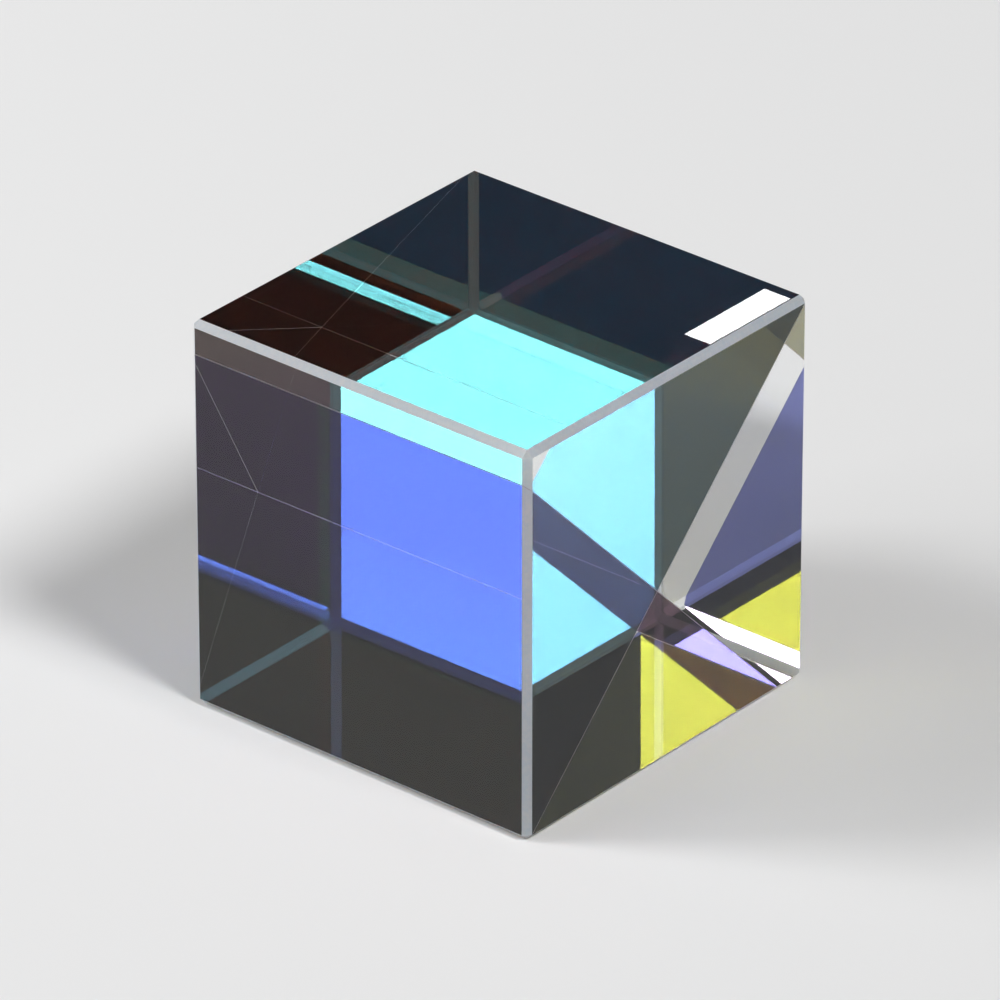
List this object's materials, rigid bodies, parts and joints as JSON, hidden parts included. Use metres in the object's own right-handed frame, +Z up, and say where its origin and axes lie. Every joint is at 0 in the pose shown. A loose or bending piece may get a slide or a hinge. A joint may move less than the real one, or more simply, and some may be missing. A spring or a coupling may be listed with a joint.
{
  "type": "dichroic prism cube",
  "caption": "Clear bevelled glass cube of bonded right-angle prisms with crossed red-reflecting and blue-reflecting films.",
  "frame": {"origin": "middle of the lower face that the block rests on", "axes": "+X runs along the prisms, across the crossed films' line, +Y from the front face to the rear face, +Z up"},
  "size_m": [0.024, 0.024, 0.024],
  "materials": {
    "optical_glass": "polished clear crown glass with fine ground bevels",
    "red_reflecting_film": "thin interference film, reflects red and orange, passes cyan",
    "blue_reflecting_film": "thin interference film, reflects blue and cyan, passes yellow and red",
    "optical_cement": "clear cured optical cement"
  },
  "bodies": {
    "root": {"upper_prism": "optical_glass", "rear_prism": "optical_glass", "front_prism": "optical_glass", "lower_prism": "optical_glass", "red_film_upper": "red_reflecting_film", "red_film_rear": "red_reflecting_film", "blue_film_upper": "blue_reflecting_film", "blue_film_front": "blue_reflecting_film", "bond_upper_rear": "optical_cement", "bond_front_lower": "optical_cement", "bond_pairs": "optical_cement"}
  },
  "joints": []
}
